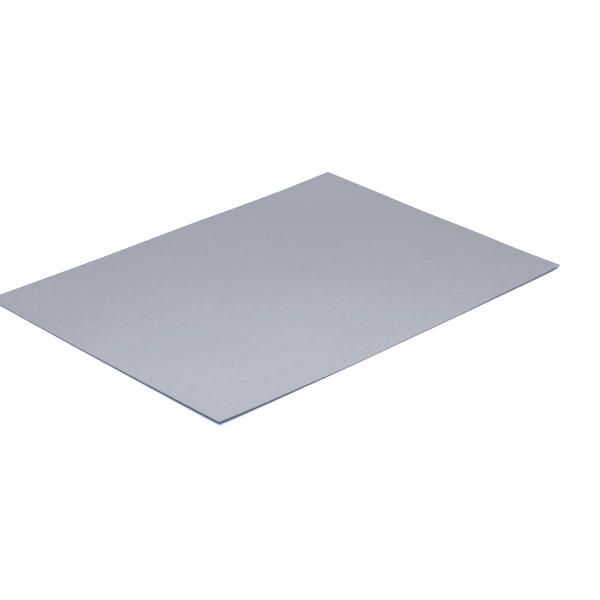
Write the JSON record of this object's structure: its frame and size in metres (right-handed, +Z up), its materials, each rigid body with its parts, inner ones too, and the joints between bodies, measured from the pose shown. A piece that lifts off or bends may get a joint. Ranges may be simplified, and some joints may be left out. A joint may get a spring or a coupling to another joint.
{
  "type": "ferrite absorber sheet",
  "caption": "Thin flexible sheet of grey ferrite-filled absorber for electromagnetic noise, A4 size, on a blue release liner that is peeled off before it is stuck down.",
  "frame": {"origin": "on the floor, under the middle of the release liner", "axes": "+X along the long side, +Y along the short side towards the edge where the liner shows, +Z up out of the grey face"},
  "size_m": [0.297, 0.2112, 0.0038],
  "materials": {
    "absorber": "satin grey, powder-filled",
    "liner": "semi-gloss blue film"
  },
  "bodies": {
    "root": {"absorber_sheet": "absorber", "release_liner": "liner"}
  },
  "joints": []
}
